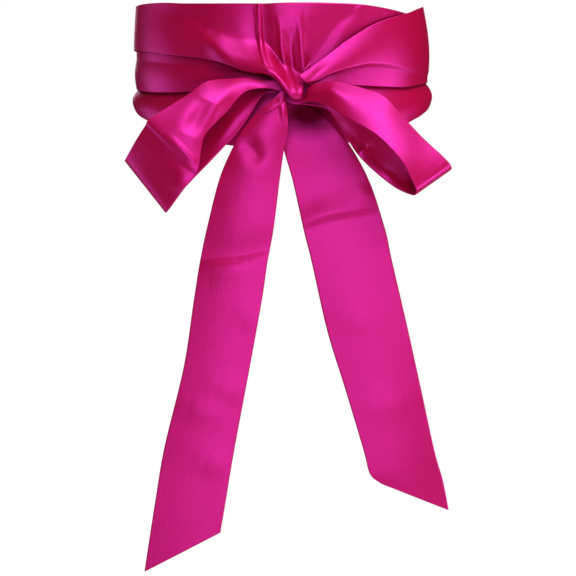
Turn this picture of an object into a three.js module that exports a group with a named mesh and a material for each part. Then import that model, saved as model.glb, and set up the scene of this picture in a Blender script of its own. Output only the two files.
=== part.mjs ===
// A satin sash worn at the waist and tied in front in a bow, in millimetres.
// +Z is up, the bow faces -Y, and the origin is at the middle of the waist.
//
// A wide shaped panel lies round the front of the waist. A tie is sewn to each of its ends.
// The ties cross at the back, come round the sides over the panel, and are knotted in front,
// with two loops and two hanging tails. No wearer is modelled, so the waist is empty.
import * as THREE from "three";

// Driving sizes
const WAIST_HALF_WIDTH = 134.5; // middle of the panel's wall, at the side
const WAIST_HALF_DEPTH = 94.5; // middle of the panel's wall, at the front
const RIGHT_LEAN = 5; // how far the right side leans in at its top
const CLOTH = 1.4; // two layers of satin and an interlining
const SEAM_GAP = 0.5; // left between two pieces that are sewn edge to edge
const PANEL_END_ANGLE = 128; // from the front centre, where panel and tie are sewn together

const SATIN = new THREE.MeshStandardMaterial({ color: 0xc8147a, roughness: 0.38, metalness: 0.1 });

const mix = (a, b, t) => a + (b - a) * t;
const smooth = (t) => t * t * (3 - 2 * t);
const clamp = (t) => Math.min(1, Math.max(0, t));

// A point by its angle round the waist from the front centre, its height, and its distance outside the
// plain waist.
function onWaist(angle, z, out) {
  const turn = THREE.MathUtils.degToRad(angle);
  const away = new THREE.Vector2(
    Math.sin(turn) / WAIST_HALF_WIDTH,
    -Math.cos(turn) / WAIST_HALF_DEPTH,
  ).normalize();
  const lean = RIGHT_LEAN * Math.max(Math.sin(turn), 0) ** 4 * clamp(z / 48) ** 1.5;
  return new THREE.Vector3(
    WAIST_HALF_WIDTH * Math.sin(turn) + away.x * (out - lean),
    -WAIST_HALF_DEPTH * Math.cos(turn) + away.y * (out - lean),
    z,
  );
}

// Smooth values between the rows of a table: place 0 is the first row, 1 the second, and so on.
function between(rows, place) {
  const last = rows.length - 1;
  const from = Math.min(Math.floor(place), last - 1);
  const t = place - from;
  const row = (n) => rows[Math.min(Math.max(n, 0), last)];
  const [before, start, end, after] = [row(from - 1), row(from), row(from + 1), row(from + 2)];
  const found = {};
  for (const key of Object.keys(start)) {
    const slopeIn = (end[key] - before[key]) / 2;
    const slopeOut = (after[key] - start[key]) / 2;
    const rise = end[key] - start[key];
    const bend = 3 * rise - 2 * slopeIn - slopeOut;
    const close = slopeIn + slopeOut - 2 * rise;
    found[key] = start[key] + t * (slopeIn + t * (bend + t * close));
  }
  return found;
}

// The same, where the table has an "at" column to look up.
function lookUp(rows, at) {
  const last = rows.length - 2;
  const from = Math.min(Math.max(rows.findLastIndex((r) => r.at <= at), 0), last);
  const t = clamp((at - rows[from].at) / (rows[from + 1].at - rows[from].at));
  return between(rows, from + t);
}

// A closed cloth wall on a grid of points: along[] and across[] are the grid's parameters.
function clothWall(name, material, along, across, pointAt) {
  const rows = along.length;
  const columns = across.length;
  const middle = along.map((s) => across.map((u) => pointAt(s, u)));
  const pick = (i, j) => middle[Math.min(Math.max(i, 0), rows - 1)][Math.min(Math.max(j, 0), columns - 1)];
  const positions = [];
  for (const side of [0.5, -0.5]) {
    for (let i = 0; i < rows; i++) {
      for (let j = 0; j < columns; j++) {
        const alongStep = pick(i + 1, j).clone().sub(pick(i - 1, j));
        const acrossStep = pick(i, j + 1).clone().sub(pick(i, j - 1));
        const normal = alongStep.cross(acrossStep).normalize();
        positions.push(...middle[i][j].clone().addScaledVector(normal, CLOTH * side).toArray());
      }
    }
  }
  const front = (i, j) => i * columns + j;
  const back = (i, j) => rows * columns + front(i, j);
  const faces = [];
  const quad = (a, b, c, d) => faces.push(a, b, c, a, c, d);
  for (let i = 0; i < rows - 1; i++) {
    for (let j = 0; j < columns - 1; j++) {
      quad(front(i, j), front(i + 1, j), front(i + 1, j + 1), front(i, j + 1));
      quad(back(i, j), back(i, j + 1), back(i + 1, j + 1), back(i + 1, j));
    }
  }
  for (let i = 0; i < rows - 1; i++) {
    const end = columns - 1;
    quad(front(i, 0), back(i, 0), back(i + 1, 0), front(i + 1, 0));
    quad(front(i, end), front(i + 1, end), back(i + 1, end), back(i, end));
  }
  for (let j = 0; j < columns - 1; j++) {
    const end = rows - 1;
    quad(front(0, j), front(0, j + 1), back(0, j + 1), back(0, j));
    quad(front(end, j), back(end, j), back(end, j + 1), front(end, j + 1));
  }
  const geometry = new THREE.BufferGeometry();
  geometry.setAttribute("position", new THREE.Float32BufferAttribute(positions, 3));
  geometry.setIndex(faces);
  geometry.computeVertexNormals();
  const mesh = new THREE.Mesh(geometry, material);
  mesh.name = name;
  return mesh;
}

// Evenly spaced values from first to last, with both ends.
function steps(first, last, count) {
  return Array.from({ length: count + 1 }, (_, n) => mix(first, last, n / count));
}

// Raises soft ridges in a piece, or troughs where rise is below 0, each along a line seen from the front.
// Each has a width to the left and to the right of its line, and fades towards its ends by its taper.
function folded(point, folds) {
  for (const fold of folds) {
    const line = new THREE.Vector2(fold.toX - fold.fromX, fold.toZ - fold.fromZ);
    const off = new THREE.Vector2(point.x - fold.fromX, point.z - fold.fromZ);
    const along = clamp(off.dot(line) / line.lengthSq());
    off.addScaledVector(line, -along);
    const width = line.cross(off) < 0 ? fold.right : fold.left;
    const fade = 1 - fold.taper * (2 * along - 1) ** 2;
    point.y -= fold.rise * fade * Math.exp(-((off.length() / width) ** 2));
  }
  return point;
}

// The waist panel: its two edges, and the line that the lower edges of the ties press on it. Below that
// line it swells and turns in.
const PANEL = [
  { at: -128, top: 46, tieEdge: -15, bottom: -23, swell: 0.2 },
  { at: -106, top: 47, tieEdge: -21, bottom: -33, swell: 0.8 },
  { at: -88, top: 47.5, tieEdge: -27, bottom: -43, swell: 1 },
  { at: -74, top: 47, tieEdge: -31, bottom: -53, swell: 1 },
  { at: -60, top: 46, tieEdge: -34, bottom: -62, swell: 1 },
  { at: -40, top: 42, tieEdge: -36, bottom: -75, swell: 1 },
  { at: -20, top: 40.5, tieEdge: -38, bottom: -85, swell: 0.8 },
  { at: 0, top: 40.5, tieEdge: -40, bottom: -90, swell: 0.5 },
  { at: 20, top: 41, tieEdge: -36, bottom: -85, swell: 0.7 },
  { at: 40, top: 42, tieEdge: -31, bottom: -75, swell: 1 },
  { at: 57, top: 38.5, tieEdge: -30, bottom: -62, swell: 1 },
  { at: 70, top: 38.5, tieEdge: -26, bottom: -52.5, swell: 1 },
  { at: 88, top: 43, tieEdge: -21, bottom: -40, swell: 1 },
  { at: 106, top: 45, tieEdge: -20, bottom: -31, swell: 0.7 },
  { at: 128, top: 46, tieEdge: -15, bottom: -23, swell: 0.2 },
];
const LOWER_TUCK = 1.5;
const LOWER_BELLY = 5.5;
const TIE_REST = 2.3; // from the middle of the panel's wall to the middle of the wall of a tie lying on it

function waistPanel() {
  const across = [...steps(0, 1, 5), ...steps(1, 2, 4).slice(1)];
  const angles = [
    ...steps(-PANEL_END_ANGLE, -40, 16),
    ...steps(-40, 40, 12).slice(1, -1),
    ...steps(40, PANEL_END_ANGLE, 16),
  ];
  return clothWall("waist_panel", SATIN, angles, across, (angle, u) => {
    const edge = lookUp(PANEL, angle);
    if (u > 1) return onWaist(angle, mix(edge.tieEdge, edge.top, u - 1), 0);
    const swell = LOWER_TUCK * (1 - u) + LOWER_BELLY * Math.sin(Math.PI * 0.8 * (1 - u));
    return onWaist(angle, mix(edge.bottom, edge.tieEdge, u), edge.swell * swell);
  });
}

// A point of a tie that lies on the panel, above its middle by the tie's rest and its own extra distance.
function onPanel(angle, z, extra) {
  return onWaist(angle, z, TIE_REST + extra);
}

// The left tie comes round the left side folded along its length. This is its lower fold, which runs in
// under the knot.
const LEFT_LOWER_FOLD = [
  { angle: -128, high: 20, low: -14.5, out: 0.3 },
  { angle: -106, high: 18.5, low: -20.5, out: 0.3 },
  { angle: -88, high: 17.5, low: -26.5, out: 0.4 },
  { angle: -74, high: 15, low: -30.5, out: 0.8 },
  { angle: -60, high: 11, low: -33.5, out: 1.2 },
  { angle: -46, high: 6, low: -35, out: 1.4 },
  { angle: -33, high: 1, low: -34.5, out: 1.8 },
  { angle: -22, high: -5, low: -33, out: 3 },
  { angle: -15, high: -10, low: -31, out: 5 },
  { angle: -9, high: -15, low: -30, out: 5.5 },
  { angle: -4.5, high: -20, low: -30, out: 5.5 },
];

function leftLowerFold() {
  const places = steps(0, LEFT_LOWER_FOLD.length - 1, (LEFT_LOWER_FOLD.length - 1) * 2);
  return clothWall("left_tie_lower_fold", SATIN, places, steps(0, 1, 5), (place, t) => {
    const row = between(LEFT_LOWER_FOLD, place);
    const roundOut = 1.6 * Math.sin(Math.PI * Math.min(1, t * 1.6));
    return onPanel(row.angle, mix(row.low, row.high, t), row.out + roundOut);
  });
}

// The upper fold of the left tie, spread as a fan and drawn over the knot. Each row is one line of the
// cloth, from its lower edge to its upper edge. The cloth rises towards the knot over reach, and curl is
// the radius with which the lower edge rolls under.
const LEFT_TIE = [
  { lowAt: -128, lowZ: 11, lowOut: 2.6, highAt: -128, highZ: 49, highOut: 2, curl: 0, reach: 60 },
  { lowAt: -104, lowZ: 10.5, lowOut: 2.8, highAt: -106, highZ: 50.5, highOut: 1, curl: 0, reach: 60 },
  { lowAt: -84, lowZ: 9, lowOut: 3, highAt: -88, highZ: 50.5, highOut: 0.8, curl: 0, reach: 60 },
  { lowAt: -64, lowZ: 5, lowOut: 3.6, highAt: -73, highZ: 49.8, highOut: 0.6, curl: 0, reach: 60 },
  { lowAt: -46, lowZ: -0.5, lowOut: 4.2, highAt: -60, highZ: 48.8, highOut: 0.4, curl: 0.2, reach: 60 },
  { lowAt: -31, lowZ: -5, lowOut: 5, highAt: -50, highZ: 47.5, highOut: 0.4, curl: 0.4, reach: 60 },
  { lowAt: -21, lowZ: -11.5, lowOut: 8, highAt: -43, highZ: 46, highOut: 0.4, curl: 0.6, reach: 60 },
  { lowAt: -15, lowZ: -17, lowOut: 12, highAt: -36, highZ: 45, highOut: 0.6, curl: 1, reach: 58 },
  { lowAt: -10.3, lowZ: -19.6, lowOut: 17, highAt: -26, highZ: 44, highOut: 0.8, curl: 1.2, reach: 56 },
  { lowAt: -6.2, lowZ: -20.6, lowOut: 22, highAt: -12, highZ: 43, highOut: 1, curl: 1.4, reach: 54 },
  { lowAt: -3.1, lowZ: -23.6, lowOut: 25, highAt: -8.6, highZ: 42.8, highOut: 1.5, curl: 1.8, reach: 52 },
  { lowAt: -0.9, lowZ: -29.6, lowOut: 27.2, highAt: -6.5, highZ: 42.8, highOut: 2, curl: 2.2, reach: 50 },
  { lowAt: 1, lowZ: -35.5, lowOut: 28.6, highAt: -4.8, highZ: 42.8, highOut: 2.4, curl: 3, reach: 48 },
  { lowAt: 2.9, lowZ: -40.5, lowOut: 29, highAt: -3, highZ: 43, highOut: 2.6, curl: 4, reach: 44 },
  { lowAt: 5, lowZ: -41.9, lowOut: 28, highAt: 1, highZ: 43.2, highOut: 2.6, curl: 4.2, reach: 34 },
  { lowAt: 6.6, lowZ: -40.5, lowOut: 25.5, highAt: 4, highZ: 43.4, highOut: 2.6, curl: 3.2, reach: 24 },
  { lowAt: 7.2, lowZ: -37, lowOut: 20, highAt: 9, highZ: 43.6, highOut: 2.4, curl: 2, reach: 18 },
  { lowAt: 7.7, lowZ: -33.5, lowOut: 13, highAt: 18, highZ: 43.8, highOut: 1.8, curl: 1, reach: 14 },
  { lowAt: 8.2, lowZ: -30.5, lowOut: 8, highAt: 34, highZ: 43.4, highOut: 1.4, curl: 0.6, reach: 14 },
  { lowAt: 9, lowZ: -28, lowOut: 5, highAt: 60, highZ: 38.4, highOut: 1.3, curl: 0.4, reach: 14 },
];
const LEFT_TIE_FOLDS = [
  { fromX: -22, fromZ: 46, toX: -14.3, toZ: -16, rise: 3, left: 3, right: 9, taper: 0.2 },
  { fromX: -5, fromZ: 12, toX: 6.6, toZ: -21, rise: 1.8, left: 4, right: 4, taper: 0.6 },
  { fromX: 7, fromZ: 10, toX: 11, toZ: -18, rise: -1.8, left: 4, right: 4, taper: 0.6 },
  { fromX: 13.5, fromZ: 20, toX: 20, toZ: -13, rise: 2, left: 5, right: 4, taper: 0.5 },
  { fromX: -58, fromZ: 10, toX: -32, toZ: -15, rise: 3, left: 7, right: 6, taper: 0.6 },
];
const CURL_TURN = 95; // degrees that the rolled edge turns under

function leftTie() {
  const places = steps(0, LEFT_TIE.length - 1, (LEFT_TIE.length - 1) * 2.2);
  const across = [...steps(-1, 0, 3).slice(0, -1), ...steps(0, 0.6, 8), ...steps(0.6, 1, 3).slice(1)];
  return clothWall("left_tie", SATIN, places, across, (place, t) => {
    const row = between(LEFT_TIE, place);
    const low = onPanel(row.lowAt, row.lowZ, row.lowOut);
    const high = onPanel(row.highAt, row.highZ, row.highOut);
    if (t >= 0) {
      const rise = smooth(clamp(1 - (t * low.distanceTo(high)) / row.reach));
      const [angle, z] = [mix(row.lowAt, row.highAt, t), mix(row.lowZ, row.highZ, t)];
      return folded(onPanel(angle, z, mix(row.highOut, row.lowOut, rise)), LEFT_TIE_FOLDS);
    }
    const turn = THREE.MathUtils.degToRad(-t * CURL_TURN);
    const down = low.clone().sub(high).setY(0).normalize();
    const radius = Math.max(row.curl, 0.05);
    const rolled = low
      .addScaledVector(down, radius * Math.sin(turn))
      .add(new THREE.Vector3(0, radius * (1 - Math.cos(turn)), 0));
    return folded(rolled, LEFT_TIE_FOLDS);
  });
}

// The right tie: its two edges, from the seam behind the right side to the knot. Its lower part, up to
// fold, is folded back by step under the upper one.
const RIGHT_TIE = [
  { lowAt: 128, lowZ: -17, lowOut: 1, highAt: 128, highZ: 48.5, highOut: 1, belly: 0, fold: 0.12, step: 0 },
  { lowAt: 104, lowZ: -20, lowOut: 0.4, highAt: 104, highZ: 49.5, highOut: 1, belly: 0.5, fold: 0.12, step: 0 },
  { lowAt: 86, lowZ: -21, lowOut: 0.4, highAt: 84, highZ: 49.5, highOut: 1.4, belly: 1.4, fold: 0.12, step: 0.8 },
  { lowAt: 70, lowZ: -25, lowOut: 1, highAt: 68, highZ: 45, highOut: 3.6, belly: 1.6, fold: 0.15, step: 1 },
  { lowAt: 56, lowZ: -29, lowOut: 2, highAt: 58, highZ: 39.5, highOut: 4.2, belly: 2, fold: 0.22, step: 1.4 },
  { lowAt: 44, lowZ: -30, lowOut: 3.5, highAt: 49, highZ: 35, highOut: 4.4, belly: 2.5, fold: 0.28, step: 2.4 },
  { lowAt: 33, lowZ: -30, lowOut: 6, highAt: 37, highZ: 26, highOut: 5.2, belly: 3, fold: 0.33, step: 4 },
  { lowAt: 24, lowZ: -30, lowOut: 10, highAt: 25.5, highZ: 11, highOut: 7, belly: 3, fold: 0.34, step: 5.5 },
  { lowAt: 17, lowZ: -31, lowOut: 14, highAt: 17.5, highZ: -3, highOut: 10, belly: 2.5, fold: 0.33, step: 6 },
  { lowAt: 11.8, lowZ: -32, lowOut: 19, highAt: 11, highZ: -15, highOut: 15.5, belly: 1.2, fold: 0.2, step: 3.5 },
  { lowAt: 8.2, lowZ: -30.5, lowOut: 21, highAt: 6, highZ: -24, highOut: 20.5, belly: 0.4, fold: 0.1, step: 0.6 },
];

function rightTie() {
  const places = steps(0, RIGHT_TIE.length - 1, (RIGHT_TIE.length - 1) * 2.4);
  const across = [...steps(1, 0.4, 5), ...steps(0.4, 0, 6).slice(1)];
  return clothWall("right_tie", SATIN, places, across, (place, t) => {
    const row = between(RIGHT_TIE, place);
    const setBack = row.step * clamp((row.fold + 0.06 - t) / 0.12);
    const extra = mix(row.lowOut, row.highOut, t) + row.belly * Math.sin(Math.PI * t) - setBack;
    return onPanel(mix(row.lowAt, row.highAt, t), mix(row.lowZ, row.highZ, t), extra);
  });
}

// The ties behind the waist. Each leaves one end of the panel low, is gathered, and crosses to the
// other side high.
const BACK_TIE_TO_LEFT = [
  { at: 128, low: -22.5, high: 46, out: 0, gather: 0 },
  { at: 138, low: -21, high: 36, out: 0, gather: 0.6 },
  { at: 150, low: -17, high: 18, out: 0, gather: 1 },
  { at: 165, low: -13, high: 20, out: 0, gather: 1 },
  { at: 180, low: 0, high: 34, out: 0, gather: 1 },
  { at: 194, low: 12, high: 45, out: 0.2, gather: 1 },
  { at: 207, low: 18, high: 50, out: 4, gather: 1 },
  { at: 218, low: 6, high: 50, out: 4.4, gather: 0.6 },
  { at: 232, low: -17, high: 49, out: 3.6, gather: 0 },
];
const BACK_TIE_TO_RIGHT = [
  { at: 128, low: -17, high: 48.5, out: 3.3, gather: 0 },
  { at: 140, low: 2, high: 50.5, out: 4.4, gather: 0.6 },
  { at: 153, low: 20, high: 51.5, out: 5, gather: 1 },
  { at: 166, low: 15, high: 47, out: 6.4, gather: 1 },
  { at: 180, low: 0, high: 33, out: 6.6, gather: 1 },
  { at: 194, low: -16, high: 17, out: 5.6, gather: 1 },
  { at: 207, low: -18.5, high: 14, out: 1, gather: 1 },
  { at: 220, low: -21, high: 32, out: 0, gather: 0.6 },
  { at: 232, low: -22.5, high: 46.5, out: 0, gather: 0 },
];
const BACK_GATHER = 1.1; // depth of the soft pleats where a tie is gathered
const BACK_PLEATS = 2.5;

function backTie(name, rows) {
  const [first, last] = [rows[0].at, rows[rows.length - 1].at];
  const gap = SEAM_GAP / 2;
  const angles = steps(first + gap, last - gap, 26);
  return clothWall(name, SATIN, angles, steps(0, 1, 10), (angle, t) => {
    const row = lookUp(rows, angle);
    const pleats = BACK_GATHER * row.gather * Math.sin(2 * Math.PI * BACK_PLEATS * t);
    return onWaist(angle, mix(row.low, row.high, t), row.out + pleats);
  });
}

// A strip of tie in free space. Each row gives its two edges, a and b, and how far its middle swells
// forward. The ends in the knot lie one behind the other.
function stripPoint(rows, place, u) {
  const row = between(rows, place);
  const a = new THREE.Vector3(row.ax, row.ay, row.az);
  const b = new THREE.Vector3(row.bx, row.by, row.bz);
  const swell = row.swell * Math.sin(Math.PI * u);
  return a.lerp(b, u).add(new THREE.Vector3(0, -swell, 0));
}

// Its folds are raised up to the row after lastFolded.
function strip(name, rows, stepsPerRow, columns, folds, lastFolded = rows.length) {
  const places = steps(0, rows.length - 1, (rows.length - 1) * stepsPerRow);
  return clothWall(name, SATIN, places, steps(0, 1, columns), (place, u) => {
    return folded(stripPoint(rows, place, u), place < lastFolded ? folds : []);
  });
}

// Left loop, from the knot out along its front layer, round its end and back behind. Edge a is the
// lower one.
const LEFT_LOOP = [
  { ax: 9, ay: -117, az: -42, bx: 9, by: -117, bz: -34, swell: 0 },
  { ax: 0, ay: -117, az: -38.5, bx: 1, by: -117, bz: -31, swell: 0 },
  { ax: -9, ay: -116.4, az: -35.5, bx: -9, by: -115.6, bz: -28.5, swell: 0 },
  { ax: -16.2, ay: -118.5, az: -35.3, bx: -20.7, by: -114, bz: -27.7, swell: 1 },
  { ax: -28.7, ay: -122.5, az: -37, bx: -34.6, by: -117, bz: -26.5, swell: 2 },
  { ax: -37.9, ay: -129, az: -42.9, bx: -47.7, by: -121, bz: -27.8, swell: 3 },
  { ax: -48.1, ay: -137, az: -56, bx: -60.9, by: -126, bz: -29, swell: 5 },
  { ax: -60.3, ay: -144, az: -68.9, bx: -70.3, by: -131, bz: -32.3, swell: 6 },
  { ax: -69.4, ay: -150, az: -81.3, bx: -85.4, by: -138, bz: -44, swell: 6 },
  { ax: -73.7, ay: -155, az: -106.8, bx: -115.7, by: -147, bz: -64, swell: 4 },
  { ax: -77.7, ay: -154, az: -116.9, bx: -121.2, by: -144, bz: -71.1, swell: 3 },
  { ax: -87.6, ay: -151, az: -128.2, bx: -130, by: -138, bz: -84.1, swell: 2 },
  { ax: -101.1, ay: -145, az: -145.8, bx: -139.7, by: -126, bz: -99.5, swell: 1 },
  { ax: -102.1, ay: -135, az: -144.5, bx: -138.6, by: -115, bz: -97.1, swell: -1 },
  { ax: -87.7, ay: -127, az: -125.5, bx: -122.8, by: -108, bz: -78.7, swell: -3 },
  { ax: -66.6, ay: -121, az: -103.3, bx: -94, by: -105.5, bz: -55.9, swell: -3 },
  { ax: -50.7, ay: -118.5, az: -86.2, bx: -77.8, by: -105, bz: -42.3, swell: -3 },
  { ax: -37.8, ay: -117, az: -72, bx: -61.5, by: -105, bz: -34.2, swell: -2 },
  { ax: -27.9, ay: -114.5, az: -57, bx: -43.4, by: -105, bz: -29.7, swell: -1 },
  { ax: -19.3, ay: -112.3, az: -42.9, bx: -25.3, by: -106, bz: -28.8, swell: 0 },
  { ax: -12, ay: -110.5, az: -38.5, bx: -13, by: -108.5, bz: -30, swell: 0 },
  { ax: 0, ay: -111, az: -40, bx: -1, by: -111, bz: -32, swell: 0 },
  { ax: 9, ay: -111, az: -42, bx: 9, by: -111, bz: -34, swell: 0 },
];
const LEFT_LOOP_FOLDS = [
  { fromX: -69, fromZ: -46, toX: -84, toZ: -80, rise: -3, left: 7, right: 7, taper: 0.7 },
  { fromX: -82, fromZ: -112, toX: -95, toZ: -132, rise: 3.5, left: 10, right: 9, taper: 0.7 },
];

// Right loop, the same way. Its lower edge a is the nearer one, so the inside of the back layer shows.
const RIGHT_LOOP = [
  { ax: 2, ay: -115, az: -46, bx: 2, by: -115, bz: -38, swell: 0 },
  { ax: 12, ay: -115, az: -49.5, bx: 12, by: -115, bz: -44.5, swell: 0 },
  { ax: 19, ay: -116, az: -48, bx: 19.5, by: -115.4, bz: -43, swell: 0 },
  { ax: 26.5, ay: -120.5, az: -47.1, bx: 26.1, by: -117.5, bz: -33.4, swell: 1 },
  { ax: 35.8, ay: -126, az: -49.3, bx: 35.9, by: -119, bz: -30.4, swell: 2 },
  { ax: 45.6, ay: -134, az: -54.8, bx: 48.5, by: -122, bz: -30, swell: 3 },
  { ax: 62.2, ay: -144, az: -65.8, bx: 70.8, by: -126, bz: -35.9, swell: 3 },
  { ax: 81.5, ay: -152, az: -77.8, bx: 91.7, by: -130, bz: -44.3, swell: 2 },
  { ax: 96.3, ay: -157, az: -91.4, bx: 108.9, by: -135, bz: -63.8, swell: 1.5 },
  { ax: 108.6, ay: -159, az: -106.5, bx: 125.6, by: -138, bz: -81.9, swell: 1 },
  { ax: 117.4, ay: -159, az: -125, bx: 141.6, by: -139, bz: -96.6, swell: 0.5 },
  { ax: 118.9, ay: -156, az: -129.8, bx: 150.2, by: -137, bz: -105.9, swell: 0.5 },
  { ax: 115.7, ay: -149, az: -132.2, bx: 148.5, by: -128, bz: -108.5, swell: 0 },
  { ax: 100.5, ay: -142, az: -125.2, bx: 131.9, by: -122, bz: -95.7, swell: -2 },
  { ax: 81.2, ay: -134, az: -109.3, bx: 110.7, by: -116, bz: -72, swell: -3 },
  { ax: 67.6, ay: -126, az: -94.6, bx: 86.5, by: -111, bz: -47.3, swell: -3 },
  { ax: 54.8, ay: -119, az: -74.9, bx: 64.1, by: -107.5, bz: -36.2, swell: -2 },
  { ax: 41.4, ay: -114, az: -54.7, bx: 44.2, by: -106.5, bz: -34.3, swell: -1 },
  { ax: 24, ay: -112.2, az: -50, bx: 24, by: -109.8, bz: -41, swell: 0 },
  { ax: 13, ay: -113, az: -49, bx: 13, by: -113, bz: -40, swell: 0 },
  { ax: 2, ay: -113, az: -46, bx: 2, by: -113, bz: -38, swell: 0 },
];
const RIGHT_LOOP_FOLDS = [
  { fromX: 28, fromZ: -40, toX: 60, toZ: -48, rise: 1.5, left: 5, right: 5, taper: 0.8 },
];

// Tails, from the knot down. Edge a is the left one and edge b the right one.
const LEFT_TAIL = [
  { ax: 2, ay: -119, az: -35, bx: 10, by: -119, bz: -36, swell: 0 },
  { ax: -8, ay: -119, az: -46, bx: 3, by: -119, bz: -44, swell: 0 },
  { ax: -20, ay: -120, az: -56, bx: 4.5, by: -121, bz: -58, swell: 3 },
  { ax: -32, ay: -119, az: -69, bx: 5, by: -121, bz: -72, swell: 5 },
  { ax: -44, ay: -116, az: -89, bx: 1.5, by: -120, bz: -90, swell: 6 },
  { ax: -56, ay: -113, az: -117, bx: -2.5, by: -119, bz: -118, swell: 6 },
  { ax: -67, ay: -110, az: -160, bx: -8, by: -119, bz: -162, swell: 5 },
  { ax: -73.5, ay: -110, az: -191, bx: -13.5, by: -120, bz: -192, swell: 4 },
  { ax: -79, ay: -111, az: -226, bx: -18.5, by: -121, bz: -226, swell: 4 },
  { ax: -88, ay: -113, az: -286, bx: -29.5, by: -122, bz: -287, swell: 3 },
  { ax: -105, ay: -115, az: -357, bx: -43, by: -124, bz: -359, swell: 3 },
  { ax: -113, ay: -117, az: -404, bx: -51, by: -127, bz: -407, swell: 3 },
  { ax: -123, ay: -119, az: -469, bx: -55.5, by: -127, bz: -434, swell: 2 },
];
const LEFT_TAIL_FOLDS = [
  { fromX: -26, fromZ: -90, toX: -25.5, toZ: -93, rise: -3, left: 8, right: 8, taper: 0 },
  { fromX: -68, fromZ: -170, toX: -16, toZ: -172, rise: -2.6, left: 9, right: 9, taper: 0.5 },
  { fromX: -60, fromZ: -196, toX: -20, toZ: -194, rise: 2.2, left: 10, right: 10, taper: 0.6 },
];
const RIGHT_TAIL = [
  { ax: 3, ay: -108.8, az: -40, bx: 14, by: -108.8, bz: -40, swell: 0 },
  { ax: 1, ay: -108.8, az: -49, bx: 20, by: -108.8, bz: -49, swell: 0 },
  { ax: -1, ay: -101.4, az: -62, bx: 37, by: -101, bz: -60, swell: 0 },
  { ax: 0, ay: -101.6, az: -74, bx: 50, by: -101.6, bz: -73, swell: 0.4 },
  { ax: 2, ay: -103.5, az: -90, bx: 63, by: -103, bz: -89, swell: 1 },
  { ax: 10, ay: -108, az: -118, bx: 79, by: -107, bz: -120, swell: 2 },
  { ax: 20, ay: -114, az: -163, bx: 92.5, by: -112, bz: -162, swell: 3 },
  { ax: 27, ay: -115, az: -191, bx: 98.5, by: -116, bz: -190, swell: 3 },
  { ax: 41, ay: -116, az: -253, bx: 113, by: -117, bz: -253, swell: 3 },
  { ax: 57, ay: -118, az: -305, bx: 124.5, by: -114, bz: -305, swell: 4 },
  { ax: 73.5, ay: -120, az: -360, bx: 137, by: -110, bz: -362, swell: 5 },
  { ax: 80, ay: -119, az: -383, bx: 144.5, by: -108, bz: -388, swell: 4 },
  { ax: 92, ay: -116, az: -392, bx: 150, by: -106, bz: -415, swell: 3 },
];
const RIGHT_TAIL_FOLDS = [
  { fromX: 18, fromZ: -156, toX: 88, toZ: -140, rise: 3, left: 10, right: 5, taper: 0.4 },
];

const sash = new THREE.Group();
sash.add(
  waistPanel(),
  leftLowerFold(),
  leftTie(),
  rightTie(),
  backTie("back_tie_to_left", BACK_TIE_TO_LEFT),
  backTie("back_tie_to_right", BACK_TIE_TO_RIGHT),
  strip("left_loop", LEFT_LOOP, 2, 7, LEFT_LOOP_FOLDS, 12),
  strip("right_loop", RIGHT_LOOP, 2, 7, RIGHT_LOOP_FOLDS, 11),
  strip("left_tail", LEFT_TAIL, 3, 9, LEFT_TAIL_FOLDS),
  strip("right_tail", RIGHT_TAIL, 3, 9, RIGHT_TAIL_FOLDS),
);
export default sash;
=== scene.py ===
"""A satin sash, worn round a waist and tied in front in a bow with two long tails."""

import bpy
import numpy as np
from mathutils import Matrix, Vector


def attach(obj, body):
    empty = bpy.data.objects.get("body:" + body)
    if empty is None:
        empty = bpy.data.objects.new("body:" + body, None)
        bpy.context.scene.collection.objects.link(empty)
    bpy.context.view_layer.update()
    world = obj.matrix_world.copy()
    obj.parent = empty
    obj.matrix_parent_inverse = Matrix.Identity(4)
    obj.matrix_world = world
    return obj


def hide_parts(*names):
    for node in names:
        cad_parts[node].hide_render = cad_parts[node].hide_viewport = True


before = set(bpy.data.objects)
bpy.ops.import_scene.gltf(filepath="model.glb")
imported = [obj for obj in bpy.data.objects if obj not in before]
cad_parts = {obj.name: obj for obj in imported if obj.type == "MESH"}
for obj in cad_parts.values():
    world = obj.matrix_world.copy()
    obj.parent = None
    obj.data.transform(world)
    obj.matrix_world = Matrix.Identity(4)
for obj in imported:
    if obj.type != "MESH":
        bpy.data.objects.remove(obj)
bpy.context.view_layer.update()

# The camera stands level, 2.2 m in front of the bow and a little below the waist, with a long lens,
# so the sash is seen almost square on, as in the photograph.
BOW_DISTANCE = 2.2
BOW_FRONT = -0.115
PHOTO_WIDTH_AT_BOW = 0.5184
PHOTO_MIDDLE_X = 0.0054
PHOTO_MIDDLE_Z = -0.215
SENSOR_WIDTH = 36

camera = bpy.data.objects.new("camera", bpy.data.cameras.new("camera"))
camera.location = (PHOTO_MIDDLE_X, BOW_FRONT - BOW_DISTANCE, PHOTO_MIDDLE_Z)
camera.rotation_euler = (np.pi / 2, 0, 0)
camera.data.sensor_width = SENSOR_WIDTH
camera.data.lens = SENSOR_WIDTH * BOW_DISTANCE / PHOTO_WIDTH_AT_BOW
camera.data.clip_start = 0.1
camera.data.clip_end = 50
bpy.context.collection.objects.link(camera)
bpy.context.scene.camera = camera

# The studio: a pale floor a metre below the waist, a white surround, and large soft lights. The
# brightest is overhead and a little to the right.
FLOOR_HEIGHT = -1.0
FLOOR_RADIUS = 3
LIGHTS = [
    {"name": "overhead", "at": (0.6, -0.95, 1.55), "to": (0, -0.1, -0.1), "size": 1.6, "watts": 38},
    {"name": "front", "at": (0.05, -2.3, 0.1), "to": (0, -0.1, -0.2), "size": 1.5, "watts": 18},
    {"name": "right", "at": (1.6, -0.5, -0.5), "to": (0, 0, -0.1), "size": 0.9, "watts": 11},
    {"name": "left", "at": (-1.6, 0.2, -0.2), "to": (0, 0, -0.1), "size": 0.9, "watts": 4},
    {"name": "behind", "at": (-0.4, 2.2, 0.9), "to": (0, 0, -0.1), "size": 1.4, "watts": 16},
]

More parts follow.
